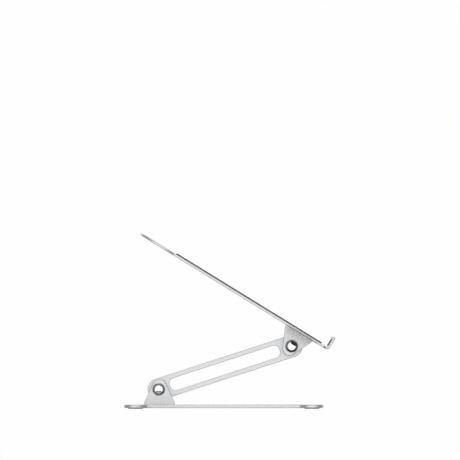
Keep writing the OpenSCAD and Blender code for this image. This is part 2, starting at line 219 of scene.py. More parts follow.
class StandStudio(bpy.types.PropertyGroup):
    """Camera and light."""

    view_width: length("View width", "Width of what the camera takes in", 542.8)
    view_height: length("View height", "Height of the middle of the view above the table", 211.1)
    view_aside: length(
        "View aside", "How far the middle of the view lies in front of the stand's middle", 0.64
    )
    backdrop: brightness("Backdrop", "Brightness of the white backdrop", 0.99)
    front_light: brightness("Front light", "Brightness of the broad front and rear light", 1.16)
    side_light: brightness("Side light", "Brightness at the sides of the studio", 0.17)
    top_light: brightness("Top light", "Brightness of the studio overhead", 0.6)
    under_light: brightness("Under light", "Brightness straight below the studio", 0.04)
    # The cards are painted shade: dark sheets that only gloss sees, on the table beside the stand and under
    # the tray's edge
    card_light: brightness("Card light", "Brightness of the cards on the table", 0.2)
    card_gap: length("Card gap", "Distance from the base to the dark cards on the table", 3)
    card_width: length("Card width", "Width of the dark cards on the table", 34)
    card_length: length("Card length", "Length of the dark cards on the table", 60)
    tray_card_light: brightness("Tray card light", "Brightness of the cards under the tray's edge", 0.03)
    tray_card_gap: length(
        "Tray card gap", "Distance from the side of the stand out to the cards under the tray's edge", -14
    )
    tray_card_length: length("Tray card length", "Length of the cards under the tray's edge", 40)
    tray_card_place: length(
        "Tray card place", "Distance along the tray from the upper pivot to the middle of its cards", 4
    )
    tray_card_width: length("Tray card width", "Width of the cards under the tray's edge", 34)
    floor: colour("Floor", "Colour of the table that the stand rests on", "#f4f4f3")


# ---- Materials ----


def add_node(tree, kind, inputs=None, **settings):
    """Adds a node with its settings. Inputs are values, or other nodes' outputs to link."""
    node = tree.nodes.new(kind)
    for name, value in settings.items():
        setattr(node, name, value)
    for socket, value in (inputs or {}).items():
        if isinstance(value, bpy.types.NodeSocket):
            tree.links.new(value, node.inputs[socket])
        else:
            node.inputs[socket].default_value = value
    return node


def new_material(name):
    """An empty node material and its output's surface socket."""
    material = bpy.data.materials.new(name)
    material.use_nodes = True
    material.node_tree.nodes.clear()
    output = add_node(material.node_tree, "ShaderNodeOutputMaterial")
    return material, material.node_tree, output.inputs["Surface"]


def cast_finish(name, tint, change, metallic, roughness, spread, grain, depth, cloud, index=1.5):
    """A finish that is even to the eye: its tone drifts over the size of cloud, and its grain is a fine bump.
    Change is how far the tone drifts, and spread how far the roughness does. Grain, depth and cloud are in
    metres."""
    material, tree, surface = new_material(name)
    place = add_node(tree, "ShaderNodeTexCoord").outputs["Object"]
    clouds = {"Vector": place, "Scale": 1 / cloud, "Detail": 2.0}
    drift = add_node(tree, "ShaderNodeTexNoise", clouds).outputs["Fac"]
    grains = {"Vector": place, "Scale": 1 / grain, "Detail": 1.0}
    specks = add_node(tree, "ShaderNodeTexNoise", grains).outputs["Fac"]
    mixed = add_node(tree, "ShaderNodeMath", {0: drift, 1: specks}, operation="ADD").outputs[0]
    # Each noise lies between 0.3 and 0.7 nearly everywhere
    reach = {"Value": mixed, "From Min": 0.6, "From Max": 1.4}
    tone = add_node(tree, "ShaderNodeMapRange", reach).outputs[0]
    light = [min(1, c * (1 + change)) for c in tint]
    dark = [c * (1 - change) for c in tint]
    tones = {"Factor": tone, "A": (*dark, 1), "B": (*light, 1)}
    colours = add_node(tree, "ShaderNodeMix", tones, data_type="RGBA")
    drifting = {**reach, "To Min": roughness - spread, "To Max": roughness + spread}
    gloss = add_node(tree, "ShaderNodeMapRange", drifting).outputs[0]
    bump = add_node(tree, "ShaderNodeBump", {"Height": specks, "Strength": 1.0, "Distance": depth}).outputs[0]
    shader = add_node(
        tree,
        "ShaderNodeBsdfPrincipled",
        {
            "Base Color": colours.outputs["Result"],
            "Metallic": metallic,
            "Roughness": gloss,
            "IOR": index,
            "Normal": bump,
        },
    )
    tree.links.new(shader.outputs[0], surface)
    return material


def anodised_aluminium():
    """Bead-blasted, silver-anodised aluminium: a pale satin metal with a fine, even frost.
    The frost of 120 grit is about 0.1 mm, which is drawn 1.1 mm wide so that it shows. The clouded oxide over
    the frost scatters part of the light as paint does, so the finish is not all metal."""
    finish = bpy.context.scene.stand_finishes
    return cast_finish(
        "bead_blasted_anodised_aluminium",
        tuple(finish.aluminium),
        change=0.03,
        metallic=finish.aluminium_metal,
        roughness=finish.aluminium_roughness,
        spread=0.04,
        grain=1.1 * MM,
        depth=0.003 * MM,
        cloud=26 * MM,
    )


def polished_steel():
    """Polished stainless steel: a bright mirror with the faint haze that handling leaves."""
    return cast_finish(
        "polished_stainless_steel",
        tuple(bpy.context.scene.stand_finishes.bolt),
        change=0.01,
        metallic=1.0,
        roughness=0.06,
        spread=0.02,
        grain=1.5 * MM,
        depth=0.0004 * MM,
        cloud=6 * MM,
    )


def plated_steel():
    """Zinc-plated steel: a mid grey metal, a little uneven, as barrel plating leaves it."""
    return cast_finish(
        "zinc_plated_steel",
        tuple(bpy.context.scene.stand_finishes.fasteners),
        change=0.07,
        metallic=1.0,
        roughness=0.3,
        spread=0.08,
        grain=0.9 * MM,
        depth=0.01 * MM,
        cloud=4 * MM,
    )


def sintered_bronze():
    """Oil-filled sintered bronze: a dull brown gold with fine pores, drawn 0.8 mm wide so that they show."""
    return cast_finish(
        "sintered_bronze",
        tuple(bpy.context.scene.stand_finishes.bronze),
        change=0.12,
        metallic=1.0,
        roughness=0.48,
        spread=0.08,
        grain=0.8 * MM,
        depth=0.03 * MM,
        cloud=5 * MM,
    )


def moulded_nylon():
    """Natural nylon: a milky, slightly glossy plastic."""
    return cast_finish(
        "moulded_nylon",
        tuple(bpy.context.scene.stand_finishes.nylon),
        change=0.03,
        metallic=0.0,
        roughness=0.42,
        spread=0.05,
        grain=1 * MM,
        depth=0.01 * MM,
        cloud=5 * MM,
        index=1.53,
    )


def foot_silicone():
    """Moulded silicone of a pale, almost white grey: matt, soft to the eye, with a trace of dust."""
    return cast_finish(
        "moulded_grey_silicone",
        tuple(bpy.context.scene.stand_finishes.feet),
        change=0.08,
        metallic=0.0,
        roughness=0.55,
        spread=0.07,
        grain=0.9 * MM,
        depth=0.02 * MM,
        cloud=7 * MM,
        index=1.41,
    )


def pad_silicone():
    """Charcoal silicone sheet: matt and dark, with the fine frost of its mould, which is drawn 1 mm wide so
    that it shows."""
    return cast_finish(
        "moulded_charcoal_silicone",
        tuple(bpy.context.scene.stand_finishes.pads),
        change=0.12,
        metallic=0.0,
        roughness=0.6,
        spread=0.08,
        grain=1 * MM,
        depth=0.03 * MM,
        cloud=12 * MM,
        index=1.41,
    )


# The finishes made so far, by the name of the function that makes each
MADE = {}


def finish_of(make):
    """The material that a function makes, made only once."""
    if make.__name__ not in MADE:
        MADE[make.__name__] = make()
    return MADE[make.__name__]


# ---- Modelling ----


def add_outline(bm, corners, step=CORNER_STEP):
    """Adds a flat face whose corners are (x, y, radius), and rounds those that have a radius."""
    points = [Vector((x, y, 0)) for x, y, _ in corners]
    verts = [bm.verts.new(point) for point in points]
    bm.faces.new(verts)
    for i, (vert, (_, _, radius)) in enumerate(zip(verts, corners)):
        if radius > 0:
            turn = (points[i] - points[i - 1]).angle(points[(i + 1) % len(points)] - points[i])
            bmesh.ops.bevel(
                bm,
                geom=[vert],
                offset=radius * math.tan(turn / 2),
                offset_type="OFFSET",
                segments=max(1, round(math.degrees(turn) / step)),
                profile=0.5,
                affect="VERTICES",
                clamp_overlap=False,
                material=-1,
            )
    bmesh.ops.remove_doubles(bm, verts=bm.verts[:], dist=SAME_POINT)


def mirror_flat(bm, axis):
    """Adds the other half of a flat outline."""
    bmesh.ops.mirror(bm, geom=bm.verts[:] + bm.edges[:] + bm.faces[:], axis=axis, merge_dist=SAME_POINT)
    bmesh.ops.remove_doubles(bm, verts=bm.verts[:], dist=SAME_POINT)
    bmesh.ops.recalc_face_normals(bm, faces=bm.faces[:])


def thicken(bm, thickness):
    """Extrudes the flat outline upwards, into a solid."""
    made = bmesh.ops.extrude_face_region(bm, geom=bm.faces[:])["geom"]
    top = [item for item in made if isinstance(item, bmesh.types.BMVert)]
    bmesh.ops.translate(bm, verts=top, vec=(0, 0, thickness))
    bmesh.ops.recalc_face_normals(bm, faces=bm.faces[:])


def sharp_edges(bm):
    """The edges of a solid that turn more than RIM_ANGLE."""
    return [edge for edge in bm.edges if edge.is_manifold and edge.calc_face_angle() > RIM_ANGLE]


def break_edges(bm, edges, width, segments=3):
    """Rounds edges over a width."""
    bmesh.ops.bevel(
        bm,
        geom=edges,
        offset=width,
        offset_type="OFFSET",
        segments=segments,
        profile=0.5,
        affect="EDGES",
        loop_slide=False,
        clamp_overlap=False,
        material=-1,
    )


def turn_profile(bm, corners, steps=ROUND_STEPS, step=EDGE_STEP):
    """Turns an outline, whose X is the radius, about the Y axis."""
    add_outline(bm, corners, step)
    bmesh.ops.delete(bm, geom=bm.faces[:], context="FACES_ONLY")
    on_axis = [edge for edge in bm.edges if all(abs(vert.co.x) < SAME_POINT for vert in edge.verts)]
    bmesh.ops.delete(bm, geom=on_axis, context="EDGES")
    bmesh.ops.spin(
        bm,
        geom=bm.verts[:] + bm.edges[:],
        cent=(0, 0, 0),
        axis=(0, 1, 0),
        angle=2 * math.pi,
        steps=steps,
        use_merge=True,
        use_duplicate=False,
    )
    bmesh.ops.remove_doubles(bm, verts=bm.verts[:], dist=SAME_POINT)
    bmesh.ops.recalc_face_normals(bm, faces=bm.faces[:])


def mesh_of(name, bm):
    """Turns a bmesh into a mesh, and frees it."""
    mesh = bpy.data.meshes.new(name)
    bm.to_mesh(mesh)
    bm.free()
    return mesh


def add_object(name, data):
    """A new object at the origin of the scene."""
    added = bpy.data.objects.new(name, data)
    bpy.context.scene.collection.objects.link(added)
    return added


def join(bm, other):
    """Adds a second mesh to the first."""
    mesh = mesh_of("joined", other)
    bm.from_mesh(mesh)
    bpy.data.meshes.remove(mesh)


def add_piece(name, bm, place, materials, body, nodes):
    """Makes an object of a mesh at its place, on its body, in the place of its CAD nodes."""
    bmesh.ops.transform(bm, matrix=place, verts=bm.verts[:])
    if place.determinant() < 0:
        bmesh.ops.reverse_faces(bm, faces=bm.faces[:])
    mesh = mesh_of(name, bm)
    for make in materials:
        mesh.materials.append(finish_of(make))
    mesh.polygons.foreach_set("use_smooth", [True] * len(mesh.polygons))
    mesh.set_sharp_from_angle(angle=RIM_ANGLE)
    piece = add_object(name, mesh)
    # Large faces lead the shading, so that flat faces look flat beside their rounded rims
    weighted = piece.modifiers.new("even shading", "WEIGHTED_NORMAL")
    weighted.keep_sharp = True
    weighted.weight = 100
    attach(piece, body)
    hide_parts(*nodes)


def tilted_box(node):
    """Middle, and sizes along, across and square to the tray, of a node that lies square on the tray. The
    middle is in the tray's own frame."""
    low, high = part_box(node)
    span = high - low
    cosine, sine = math.cos(TRAY_SLOPE), math.sin(TRAY_SLOPE)
    # A box's span along X is along * cosine + thick * sine, and along Z the other way round
    along = (span.x * cosine - span.z * sine) / (cosine**2 - sine**2)
    thick = (span.z * cosine - span.x * sine) / (cosine**2 - sine**2)
    return ALONG_TRAY.inverted() @ ((low + high) / 2), along, span.y, thick


def shoulder(x, half_width, step, swell, hollow, towards):
    """The two corners of the curve from an ear in to the waist. It starts at x and runs towards +1 or -1."""
    reach = math.sqrt((swell + hollow) ** 2 - (swell + hollow - step) ** 2)
    half_turn = math.asin(reach / (swell + hollow)) / 2
    high = (x + towards * swell * math.tan(half_turn), half_width, swell)
    low = (x + towards * (reach - hollow * math.tan(half_turn)), half_width - step, hollow)
    return high, low


def half_hole(x, y, radius, over):
    """The corners of half a round hole on a line along X, in the direction of -X. It lies above the line
    where over is 1, and below it where over is -1."""
    return [
        (x + radius, y, 0),
        (x + radius, y + over * radius, radius),
        (x - radius, y + over * radius, radius),
        (x - radius, y, 0),
    ]


# ---- Base plate and feet ----


class STAND_OT_base_plate(bpy.types.Operator):
    """Base plate with its ears, its window and the countersinks of the bracket screws"""

    bl_idname = "stand.base_plate"
    bl_label = "Base Plate"

    def execute(self, context):
        sizes = context.scene.stand_sizes
        low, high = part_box("base_plate")
        ear, hollow = sizes.base_ear, sizes.base_hollow
        window_rear, window_front = low.x + sizes.base_rear_bar, high.x - sizes.base_front_bar
        window_y = high.y - sizes.step - sizes.base_rail
        corner = (window_front - window_rear) / WINDOW_RADII
        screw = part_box("base_bracket_screws_left")
        screw_y = (screw[0].y + screw[1].y) / 2
        middle = (screw[0].x + screw[1].x) / 2
        hole = sizes.screw / 2 + SCREW_PLAY
        countersink = (sizes.screw_head - sizes.screw) / 2
        holes = [middle - sizes.screw_reach, middle + sizes.screw_reach]
        # The half on the left is drawn as two faces that meet on the line through the screws
        inner = [(low.x, 0, 0), (low.x, screw_y, 0)]
        for x in holes:
            inner += reversed(half_hole(x, screw_y, hole, -1))
        inner += [(high.x, screw_y, 0), (high.x, 0, 0)]
        inner += [(window_front, 0, 0), (window_front, window_y, corner)]
        inner += [(window_rear, window_y, corner), (window_rear, 0, 0)]
        outer = [(low.x, screw_y, 0), (low.x, high.y, ear)]
        outer += shoulder(low.x + ear, high.y, sizes.step, ear, hollow, 1)
        outer += reversed(shoulder(high.x - ear, high.y, sizes.step, ear, hollow, -1))
        outer += [(high.x, high.y, ear), (high.x, screw_y, 0)]
        for x in reversed(holes):
            outer += half_hole(x, screw_y, hole, 1)
        bm = bmesh.new()
        add_outline(bm, inner)
        add_outline(bm, outer)
        mirror_flat(bm, "Y")
        thicken(bm, high.z - low.z)
        centres = [Vector((x, s * screw_y)) for x in holes for s in (1, -1)]
        round_holes = [
            edge
            for edge in sharp_edges(bm)
            if min((edge.verts[0].co.xy - centre).length for centre in centres) < 2 * hole
        ]
        rims = [edge for edge in sharp_edges(bm) if edge not in round_holes]
        sunk = [edge for edge in round_holes if max(vert.co.z for vert in edge.verts) < SAME_POINT]
        break_edges(bm, rims, sizes.rim)
        break_edges(bm, sunk, countersink, segments=1)
        place = Matrix.Translation((0, 0, low.z))
        finishes = [anodised_aluminium]
        add_piece("base_plate_finished", bm, place, finishes, "base", ["base_plate"])
        return {"FINISHED"}


def foot_corners(radius, height):
    """Outline of a foot. It stands on a ring round a shallow hollow."""
    hollow, hollow_edge = 0.25 * MM, 1 * MM
    hollow_radius, ring_radius = radius * 0.62, radius * 0.7
    lower_edge, upper_edge = 0.5 * MM, 0.15 * MM
    return [
        (0, hollow, 0),
        (hollow_radius, hollow, hollow_edge),
        (ring_radius, 0, hollow_edge),
        (radius, 0, lower_edge),
        (radius, height, upper_edge),
        (0, height, 0),
    ]


class STAND_OT_feet(bpy.types.Operator):
    """The four silicone feet"""

    bl_idname = "stand.feet"
    bl_label = "Feet"

    def execute(self, context):
        for end in ("front", "rear"):
            for side in SIDES:
                node = f"foot_{end}_{side}"
                low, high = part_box(node)
                middle = (low + high) / 2
                bm = bmesh.new()
                turn_profile(bm, foot_corners((high.x - low.x) / 2, high.z - low.z))
                place = Matrix.Translation((middle.x, middle.y, low.z)) @ STAND_UP
                add_piece(f"{node}_finished", bm, place, [foot_silicone], "base", [node])
        return {"FINISHED"}


# ---- Brackets and arms ----


def bracket_mesh(sizes):
    """A bracket drawn flat, with the pivot at the origin, its foot below and its thickness upwards. Each
    flank is the line that touches the circles of the nose and of a heel."""
    low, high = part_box("base_bracket_left")
    rise = LOWER_PIVOT.z - low.z
    half_length = (high.x - low.x) / 2
    middle = (high.x + low.x) / 2 - LOWER_PIVOT.x
    heel = Vector((half_length - sizes.flank, -rise))
    nose = Vector((0, sizes.nose_beyond))
    run = heel - nose
    lean = math.atan2(run.y, run.x) + math.acos((sizes.nose - sizes.flank) / run.length)
    out = Vector((math.cos(lean), math.sin(lean)))
    reach = nose.dot(out) + sizes.nose
    top = nose.y + sizes.nose
    nose_x = (reach - out.y * top) / out.x
    heel_y = (reach - out.x * half_length) / out.y
    pivot_x = reach / out.x
    upper = [(middle - pivot_x, 0, 0), (middle - nose_x, top, sizes.nose), (middle + nose_x, top, sizes.nose)]
    upper += [(middle + pivot_x, 0, 0), *half_hole(0, 0, sizes.bore, 1)]
    lower = [(middle + pivot_x, 0, 0), (middle + half_length, heel_y, sizes.flank)]
    lower += [(middle + half_length, -rise, 0), (middle - half_length, -rise, 0)]
    lower += [(middle - half_length, heel_y, sizes.flank), (middle - pivot_x, 0, 0)]
    lower += reversed(half_hole(0, 0, sizes.bore, -1))
    bm = bmesh.new()
    add_outline(bm, upper)
    add_outline(bm, lower)
    bmesh.ops.recalc_face_normals(bm, faces=bm.faces[:])
    thicken(bm, high.y - low.y)
    # The foot keeps its edges, because it stands on the plate
    edges = sharp_edges(bm)
    rims = [edge for edge in edges if any(abs(vert.co.y + rise) > SAME_POINT for vert in edge.verts)]
    break_edges(bm, rims, sizes.rim)
    return bm


class STAND_OT_brackets(bpy.types.Operator):
    """The two brackets on the base plate and the two under the tray"""

    bl_idname = "stand.brackets"
    bl_label = "Brackets"

    def execute(self, context):
        outer_face = Matrix.Translation((0, OUTER_FACE, 0))
        places = {"base": ("base", AT_LOWER), "tray": ("tray", ALONG_TRAY @ TURNED_OVER)}
        for end, (body, pivot) in places.items():
            for side, mirrored in SIDES.items():
                node = f"{end}_bracket_{side}"
                bm = bracket_mesh(context.scene.stand_sizes)
                place = mirrored @ pivot @ outer_face @ STAND_UP
                finishes = [anodised_aluminium]
                add_piece(f"{node}_finished", bm, place, finishes, body, [node])
        return {"FINISHED"}


class STAND_OT_arms(bpy.types.Operator):
    """The two slotted arms"""

    bl_idname = "stand.arms"
    bl_label = "Arms"

    def execute(self, context):
        sizes = context.scene.stand_sizes
        low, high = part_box("arm_left")
        reach = ARM.length
        radius = (high.z - low.z - ARM.z) / 2
        slot_y, bore = sizes.slot_width / 2, sizes.bore
        slot_x = (sizes.slot_after_lower, reach - sizes.slot_before_upper)
        half = [(-radius, 0, 0), (-radius, radius, radius)]
        half += [(reach + radius, radius, radius), (reach + radius, 0, 0)]
        half += half_hole(reach, 0, bore, 1)
        half += [(slot_x[1], 0, 0), (slot_x[1], slot_y, sizes.slot_corner)]
        half += [(slot_x[0], slot_y, sizes.slot_corner), (slot_x[0], 0, 0)]
        half += half_hole(0, 0, bore, 1)
        for side, mirrored in SIDES.items():
            bm = bmesh.new()
            add_outline(bm, half)
            mirror_flat(bm, "Y")
            thicken(bm, high.y - low.y)
            break_edges(bm, sharp_edges(bm), sizes.rim)
            place = mirrored @ ALONG_ARM @ Matrix.Translation((0, high.y, 0)) @ STAND_UP
            node = f"arm_{side}"
            finishes = [anodised_aluminium]
            add_piece(f"{node}_finished", bm, place, finishes, "arms", [node])
        return {"FINISHED"}


# ---- Tray ----


def drawn_out(bm, face, vec):
    """Extrudes one face of a solid by a vector, and returns the face's new place."""
    made = bmesh.ops.extrude_face_region(bm, geom=[face, *face.edges, *face.verts])["geom"]
    end = next(item for item in made if isinstance(item, bmesh.types.BMFace))
    bmesh.ops.translate(bm, verts=end.verts[:], vec=vec)
    return end


def bend_hook(bm, root, sizes):
    """Carries the end face of a hook's strip round the bend and up, and leans its tip in."""
    inner_radius = sizes.bend - sizes.tray_thickness
    edge_x = sizes.tray_front - sizes.bend
    bend_steps = 8
    turned = bmesh.ops.spin(
        bm,
        geom=[root, *root.edges, *root.verts],
        cent=(edge_x, 0, sizes.tray_thickness + inner_radius),
        axis=(0, -1, 0),
        angle=math.pi / 2,
        steps=bend_steps,
        use_merge=False,
        use_duplicate=False,
    )["geom_last"]
    end = next(item for item in turned if isinstance(item, bmesh.types.BMFace))
    end = drawn_out(bm, end, (0, 0, sizes.hook_height - inner_radius - sizes.tip))
    end = drawn_out(bm, end, (0, 0, sizes.tip))
    sides = {face for edge in end.edges for face in edge.link_faces if face is not end}
    drawn_out(bm, min(sides, key=lambda face: face.calc_center_median().x), (-sizes.tip_reach, 0, 0))


class STAND_OT_tray(bpy.types.Operator):
    """Tray plate with its ears, its window and its two hooks"""

    bl_idname = "stand.tray"
    bl_label = "Tray"

    def execute(self, context):
        sizes = context.scene.stand_sizes
        half_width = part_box("tray_plate")[1].y
        rear, front = -sizes.tray_rear, sizes.tray_front - sizes.bend
        hook = (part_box("hook_pad_left")[0].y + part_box("hook_pad_left")[1].y) / 2
        hook_y = (hook + sizes.hook_width / 2, hook - sizes.hook_width / 2)
        window = (rear + sizes.tray_rear_bar, -sizes.tray_bar)
        window_y = half_width - sizes.step - sizes.tray_rail
        corner = (window[1] - window[0]) / WINDOW_RADII
        half = [(rear, 0, 0), (rear, half_width, sizes.tray_ear)]
        half += shoulder(rear + sizes.tray_ear, half_width, sizes.step, sizes.tray_ear, sizes.tray_hollow, 1)
        swell_x = front - sizes.tray_corner - sizes.tray_crest
        half += reversed(shoulder(swell_x, half_width, sizes.step, sizes.tray_swell, sizes.tray_swell, -1))
        half += [(front, half_width, sizes.tray_corner), (front, hook_y[0], 0)]
        half += [(front, hook_y[1], 0), (front, 0, 0)]
        half += [(window[1], 0, 0), (window[1], window_y, corner)]
        half += [(window[0], window_y, corner), (window[0], 0, 0)]
        bm = bmesh.new()
        add_outline(bm, half)
        mirror_flat(bm, "Y")
        thicken(bm, sizes.tray_thickness)
        for side in (1, -1):
            start = Vector((front, side * hook, sizes.tray_thickness / 2))
            root = min(bm.faces, key=lambda face: (face.calc_center_median() - start).length)
            bend_hook(bm, root, sizes)
        bmesh.ops.recalc_face_normals(bm, faces=bm.faces[:])
        crown = sizes.tray_thickness + sizes.hook_height
        corners = [
            edge
            for edge in sharp_edges(bm)
            if all(abs(vert.co.z - crown) < SAME_POINT for vert in edge.verts)
            and abs(edge.verts[0].co.y - edge.verts[1].co.y) < SAME_POINT
        ]
        break_edges(bm, corners, sizes.hook_corner, segments=6)
        below_corner = crown - sizes.hook_corner - SAME_POINT
        crest = [
            edge
            for edge in sharp_edges(bm)
            if all(
                abs(vert.co.x - sizes.tray_front) < SAME_POINT and vert.co.z > below_corner
                for vert in edge.verts
            )
        ]
        break_edges(bm, crest, sizes.hook_crest, segments=5)
        # Rims that meet in one corner leave a few faces without area
        bmesh.ops.dissolve_degenerate(bm, edges=bm.edges[:], dist=SAME_POINT)
        break_edges(bm, sharp_edges(bm), sizes.rim)
        bmesh.ops.dissolve_degenerate(bm, edges=bm.edges[:], dist=10 * SAME_POINT)
        place = ALONG_TRAY @ Matrix.Translation((0, 0, PIVOT_RISE))
        finishes = [anodised_aluminium]
        add_piece("tray_plate_finished", bm, place, finishes, "tray", ["tray_plate"])
        return {"FINISHED"}


class STAND_OT_pads(bpy.types.Operator):
    """The silicone strips on the tray and the pads in its hooks"""

    bl_idname = "stand.pads"
    bl_label = "Pads"

    def execute(self, context):
        sizes = context.scene.stand_sizes
        strip_flat, hook_pad_corner = 0.4 * MM, 1.2 * MM
        # A strip lies flat on the tray, and a hook's pad stands against the inner face of its hook
        for kind, turned in (("tray_pad", 0), ("hook_pad", -math.pi / 2)):
            middle, along, width, thick = tilted_box(f"{kind}_left")
            if turned:
                along, thick = thick, along
            corner = hook_pad_corner if turned else min(along, width) / 2 - strip_flat
            flat = [(along / 2 * x, width / 2 * y, corner) for x, y in ((1, 1), (-1, 1), (-1, -1), (1, -1))]
            for side, mirrored in SIDES.items():
                bm = bmesh.new()
                add_outline(bm, flat)
                thicken(bm, thick)
                edges = sharp_edges(bm)
                upper = [edge for edge in edges if all(vert.co.z > thick / 2 for vert in edge.verts)]
                break_edges(bm, upper, sizes.pad_edge, segments=4)
                bmesh.ops.translate(bm, verts=bm.verts[:], vec=(0, 0, -thick / 2))
                place = mirrored @ ALONG_TRAY @ Matrix.Translation(middle) @ Matrix.Rotation(turned, 4, "Y")
                node = f"{kind}_{side}"
                add_piece(f"{node}_finished", bm, place, [pad_silicone], "tray", [node])
        return {"FINISHED"}


# ---- Pivots ----


def turned_piece(node, corners, y, pivot, mirrored, material, body):
    """A turned part on a pivot's axis, whose outline has its Y = 0 at y across the stand."""
    bm = bmesh.new()
    turn_profile(bm, corners)
    place = mirrored @ pivot @ Matrix.Translation((0, y, 0))
    add_piece(f"{node}_finished", bm, place, [material], body, [node])


def bolt_corners(sizes):
    """Outline of a pivot bolt from its tail to the top of its dome. The bracket's outer face is at Y = 0."""
    low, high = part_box("lower_bolt_left")
    radius, tail = (high.x - low.x) / 2, low.y - OUTER_FACE
    top = high.y - OUTER_FACE
    dome = top - sizes.head_rim
    ball = (radius**2 + dome**2) / (2 * dome)
    rings = 18
    chamfer, under_edge, rim_edge = 0.4 * MM, 0.15 * MM, 0.2 * MM
    corners = [(0, tail, 0), (sizes.shank - chamfer, tail, 0), (sizes.shank, tail + chamfer, 0)]
    corners += [(sizes.shank, 0, 0), (radius, 0, under_edge), (radius, sizes.head_rim, rim_edge)]
    for ring in range(1, rings):
        angle = math.asin(radius / ball) * (1 - ring / rings)
        corners.append((ball * math.sin(angle), top - ball + ball * math.cos(angle), 0))
    return [*corners, (0, top, 0)]


def washer_corners(node, bore, edge):
    """Outline of a flat washer that starts at Y = 0, with rounded edges."""
    low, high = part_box(node)
    radius, thick = (high.x - low.x) / 2, high.y - low.y
    return [(bore, 0, edge), (radius, 0, edge), (radius, thick, edge), (bore, thick, edge)]


def spring_corners(sizes):
    """Outline of the conical spring washer that starts at Y = 0."""
    low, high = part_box("lower_spring_washer_left")
    radius, cone = (high.x - low.x) / 2, high.y - low.y - sizes.spring_metal
    edge = 0.15 * MM
    return [
        (sizes.bore, 0, edge),
        (radius, cone, edge),
        (radius, cone + sizes.spring_metal, edge),
        (sizes.bore, sizes.spring_metal, edge),
    ]


def lock_nut_mesh(sizes):
    """A hexagon with broken edges, the collar on its inner side and the nylon ring in the collar. The collar
    reaches into the hexagon, and the ring into the collar."""
    low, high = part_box("lower_lock_nut_left")
    height = high.y - low.y
    across_corners = sizes.nut_flats / math.cos(math.pi / 6)
    face_chamfer, flat_edge = 0.6 * MM, 0.2 * MM
    hexagon = bmesh.new()
    bmesh.ops.create_circle(hexagon, cap_ends=True, segments=6, radius=across_corners / 2)
    thicken(hexagon, height - sizes.collar)
    rims = [edge for edge in hexagon.edges if abs(edge.verts[0].co.z - edge.verts[1].co.z) < SAME_POINT]
    break_edges(hexagon, rims, face_chamfer, segments=2)
    break_edges(hexagon, sharp_edges(hexagon), flat_edge, segments=2)
    upright = Matrix.Translation((0, height, 0)) @ STAND_UP
    bmesh.ops.transform(hexagon, matrix=upright, verts=hexagon.verts[:])

    collar_radius = sizes.nut_flats / 2 - 0.4 * MM
    seat, collar_end = sizes.bore + 1 * MM, sizes.collar + 0.3 * MM
    inner_edge, outer_edge = 0.2 * MM, 0.7 * MM
    collar = [
        (seat, 0, inner_edge),
        (collar_radius, 0, outer_edge),
        (collar_radius, collar_end, 0),
        (seat, collar_end, 0),
    ]
    ring_radius, ring_start, ring_end = sizes.bore + 1.1 * MM, 0.3 * MM, sizes.collar + 0.2 * MM
    ring_edge = 0.15 * MM
    locking_ring = [
        (sizes.bore, ring_start, ring_edge),
        (ring_radius, ring_start, 0),
        (ring_radius, ring_end, 0),
        (sizes.bore, ring_end, 0),
    ]
    edge_step = 20
    for part, corners in enumerate((collar, locking_ring)):
        ring = bmesh.new()
        turn_profile(ring, corners, steps=SMALL_STEPS, step=edge_step)
        for face in ring.faces:
            face.material_index = part
        join(hexagon, ring)
    return hexagon


def turned_parts(sizes):
    """The turned parts of each pivot: outline, where its Y = 0 lies across the stand, finish and slot."""
    sintered_edge, punched_edge = 0.12 * MM, 0.2 * MM
    return {
        "bolt": (bolt_corners(sizes), OUTER_FACE, polished_steel, "polished_bolt"),
        "friction_washer": (
            washer_corners("lower_friction_washer_left", sizes.bore, sintered_edge),
            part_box("lower_friction_washer_left")[0].y,
            sintered_bronze,
            "friction_washer",
        ),
        "plain_washer": (
            washer_corners("lower_plain_washer_left", sizes.bore, punched_edge),
            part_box("lower_plain_washer_left")[0].y,
            plated_steel,
            "fastener_steel",
        ),
        "spring_washer": (
            spring_corners(sizes),
            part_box("lower_spring_washer_left")[0].y,
            plated_steel,
            "fastener_steel",
        ),
    }


class STAND_OT_pivots(bpy.types.Operator):
    """Domed bolts, washers and lock nuts of the four pivots"""

    bl_idname = "stand.pivots"
    bl_label = "Pivots"

    def execute(self, context):
        sizes = context.scene.stand_sizes
        nut_face = Matrix.Translation((0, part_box("lower_lock_nut_left")[0].y, 0))
        finishes = [plated_steel, moulded_nylon]
        for end, (body, pivot) in {"lower": ("base", AT_LOWER), "upper": ("tray", ALONG_TRAY)}.items():
            for side, mirrored in SIDES.items():
                for kind, (corners, y, material, slot) in turned_parts(sizes).items():
                    turned_piece(f"{end}_{kind}_{side}", corners, y, pivot, mirrored, material, body)
                node = f"{end}_lock_nut_{side}"
                place = mirrored @ pivot @ nut_face
                nut = lock_nut_mesh(sizes)
                add_piece(f"{node}_finished", nut, place, finishes, body, [node])
        return {"FINISHED"}


